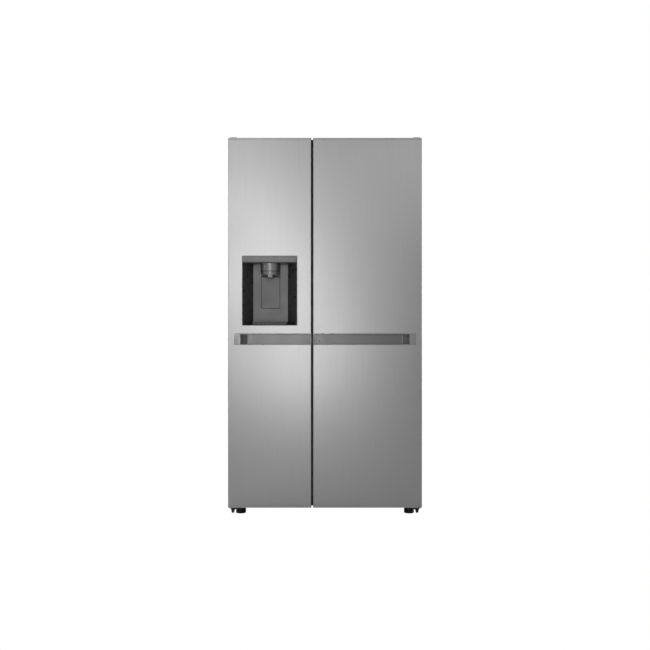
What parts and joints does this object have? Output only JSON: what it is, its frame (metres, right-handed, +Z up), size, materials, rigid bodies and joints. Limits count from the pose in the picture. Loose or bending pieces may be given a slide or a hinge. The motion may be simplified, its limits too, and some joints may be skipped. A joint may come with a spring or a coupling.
{
  "type": "side by side refrigerator",
  "caption": "Free-standing side by side refrigerator with an ice and water dispenser in the freezer door and recessed handles.",
  "frame": {"origin": "on the floor, at the centre of the footprint", "axes": "+Z up, -Y towards the doors, -X towards the freezer side"},
  "size_m": [0.913, 0.735, 1.79],
  "materials": {
    "side_paint": "satin",
    "galvanised_sheet": "satin",
    "black_enamel": "satin",
    "hinge_steel": "satin",
    "black_plastic": "matte",
    "foot_plastic": "satin",
    "roller_plastic": "satin",
    "fan_plastic": "satin",
    "insulating_foam": "matte",
    "liner_plastic": "satin",
    "shelf_glass": "gloss",
    "clear_plastic": "gloss",
    "coil_aluminium": "satin",
    "door_steel": "satin",
    "cap_plastic": "satin",
    "gasket_rubber": "matte",
    "handle_plastic": "satin",
    "dispenser_plastic": "satin",
    "panel_plastic": "gloss",
    "lever_plastic": "satin",
    "bright_chrome": "polished"
  },
  "bodies": {
    "cabinet": {"cabinet_case": "side_paint", "back_panel": "galvanised_sheet", "base_plate": "black_enamel", "foam_insulation": "insulating_foam", "top_cover": "black_plastic", "freezer_liner": "liner_plastic", "fridge_liner": "liner_plastic", "freezer_shelf_1": "shelf_glass", "freezer_shelf_2": "shelf_glass", "fridge_shelf_1": "shelf_glass", "fridge_shelf_2": "shelf_glass", "crisper_cover": "shelf_glass", "compressor": "black_enamel", "condenser": "black_enamel", "evaporator": "coil_aluminium", "evaporator_cover": "liner_plastic", "fridge_duct_panel": "liner_plastic", "machine_cover": "black_plastic", "upper_hinge_left": "hinge_steel", "upper_hinge_right": "hinge_steel", "lower_hinge_left": "black_enamel", "lower_hinge_right": "black_enamel"},
    "freezer_door": {"freezer_door_skin": "door_steel", "freezer_door_foam": "insulating_foam", "freezer_door_liner": "liner_plastic", "freezer_door_cap_top": "cap_plastic", "freezer_door_cap_bottom": "cap_plastic", "freezer_door_gasket": "gasket_rubber", "freezer_door_handle": "handle_plastic", "freezer_bin_lower": "clear_plastic", "freezer_bin_upper": "clear_plastic", "dispenser_housing": "dispenser_plastic", "dispenser_panel": "panel_plastic", "dispenser_rear_cover": "liner_plastic", "ice_chute": "dispenser_plastic", "water_nozzle": "bright_chrome", "drip_tray": "dispenser_plastic", "ice_bucket": "clear_plastic", "icemaker": "liner_plastic"},
    "fridge_door": {"fridge_door_skin": "door_steel", "fridge_door_foam": "insulating_foam", "fridge_door_liner": "liner_plastic", "fridge_door_cap_top": "cap_plastic", "fridge_door_cap_bottom": "cap_plastic", "fridge_door_gasket": "gasket_rubber", "fridge_door_handle": "handle_plastic", "fridge_bin_lower": "clear_plastic", "fridge_bin_upper": "clear_plastic"},
    "dispenser_lever": {"dispenser_lever": "lever_plastic"},
    "chute_flap": {"chute_flap": "lever_plastic"},
    "freezer_drawer_upper": {"freezer_drawer_upper": "clear_plastic"},
    "freezer_drawer_lower": {"freezer_drawer_lower": "clear_plastic"},
    "crisper_upper": {"crisper_upper": "clear_plastic"},
    "crisper_lower": {"crisper_lower": "clear_plastic"},
    "foot_left": {"foot_left": "foot_plastic"},
    "foot_right": {"foot_right": "foot_plastic"},
    "rear_roller_left": {"rear_roller_left": "roller_plastic"},
    "rear_roller_right": {"rear_roller_right": "roller_plastic"},
    "condenser_fan": {"condenser_fan": "fan_plastic"},
    "evaporator_fan": {"evaporator_fan": "fan_plastic"}
  },
  "joints": [
    {"name": "freezer_door_hinge", "type": "hinge", "parent": "cabinet", "child": "freezer_door", "pos_m": [-0.4325, -0.3375, 0.9], "axis": [0, 0, -1], "range_deg": [0, 130]},
    {"name": "fridge_door_hinge", "type": "hinge", "parent": "cabinet", "child": "fridge_door", "pos_m": [0.4325, -0.3375, 0.9], "axis": [0, 0, 1], "range_deg": [0, 130]},
    {"name": "freezer_drawer_upper_slide", "type": "slide", "parent": "cabinet", "child": "freezer_drawer_upper", "axis": [0, -1, 0], "range_m": [0, 0.271]},
    {"name": "freezer_drawer_lower_slide", "type": "slide", "parent": "cabinet", "child": "freezer_drawer_lower", "axis": [0, -1, 0], "range_m": [0, 0.141]},
    {"name": "crisper_upper_slide", "type": "slide", "parent": "cabinet", "child": "crisper_upper", "axis": [0, -1, 0], "range_m": [0, 0.271]},
    {"name": "crisper_lower_slide", "type": "slide", "parent": "cabinet", "child": "crisper_lower", "axis": [0, -1, 0], "range_m": [0, 0.141]},
    {"name": "dispenser_lever_pivot", "type": "hinge", "parent": "freezer_door", "child": "dispenser_lever", "pos_m": [-0.2605, -0.27, 1.129], "axis": [1, 0, 0], "range_deg": [0, 7], "stiffness_Nm_per_rad": 0.5, "springref_deg": -2.86},
    {"name": "chute_flap_pivot", "type": "hinge", "parent": "freezer_door", "child": "chute_flap", "pos_m": [-0.2605, -0.305, 1.215], "axis": [1, 0, 0], "range_deg": [0, 42.5]},
    {"name": "foot_left_screw", "type": "hinge", "parent": "cabinet", "child": "foot_left", "pos_m": [-0.402, -0.276, 0.03], "axis": [0, 0, 1], "continuous": true},
    {"name": "foot_right_screw", "type": "hinge", "parent": "cabinet", "child": "foot_right", "pos_m": [0.402, -0.276, 0.03], "axis": [0, 0, 1], "continuous": true},
    {"name": "rear_roller_left_axle", "type": "hinge", "parent": "cabinet", "child": "rear_roller_left", "pos_m": [-0.38, 0.3, 0.02], "axis": [1, 0, 0], "continuous": true},
    {"name": "rear_roller_right_axle", "type": "hinge", "parent": "cabinet", "child": "rear_roller_right", "pos_m": [0.38, 0.3, 0.02], "axis": [1, 0, 0], "continuous": true},
    {"name": "condenser_fan_shaft", "type": "hinge", "parent": "cabinet", "child": "condenser_fan", "pos_m": [-0.03, 0.242, 0.122], "axis": [1, 0, 0], "continuous": true},
    {"name": "evaporator_fan_shaft", "type": "hinge", "parent": "cabinet", "child": "evaporator_fan", "pos_m": [-0.2435, 0.256, 0.96], "axis": [0, 1, 0], "continuous": true}
  ],
  "couplings": [
    {"joint": "freezer_drawer_upper_slide", "follows": "freezer_door_hinge", "m_per_rad": 0.119},
    {"joint": "freezer_drawer_lower_slide", "follows": "freezer_door_hinge", "m_per_rad": 0.0617},
    {"joint": "crisper_upper_slide", "follows": "fridge_door_hinge", "m_per_rad": 0.119},
    {"joint": "crisper_lower_slide", "follows": "fridge_door_hinge", "m_per_rad": 0.0617},
    {"joint": "chute_flap_pivot", "follows": "dispenser_lever_pivot", "ratio": 6}
  ]
}
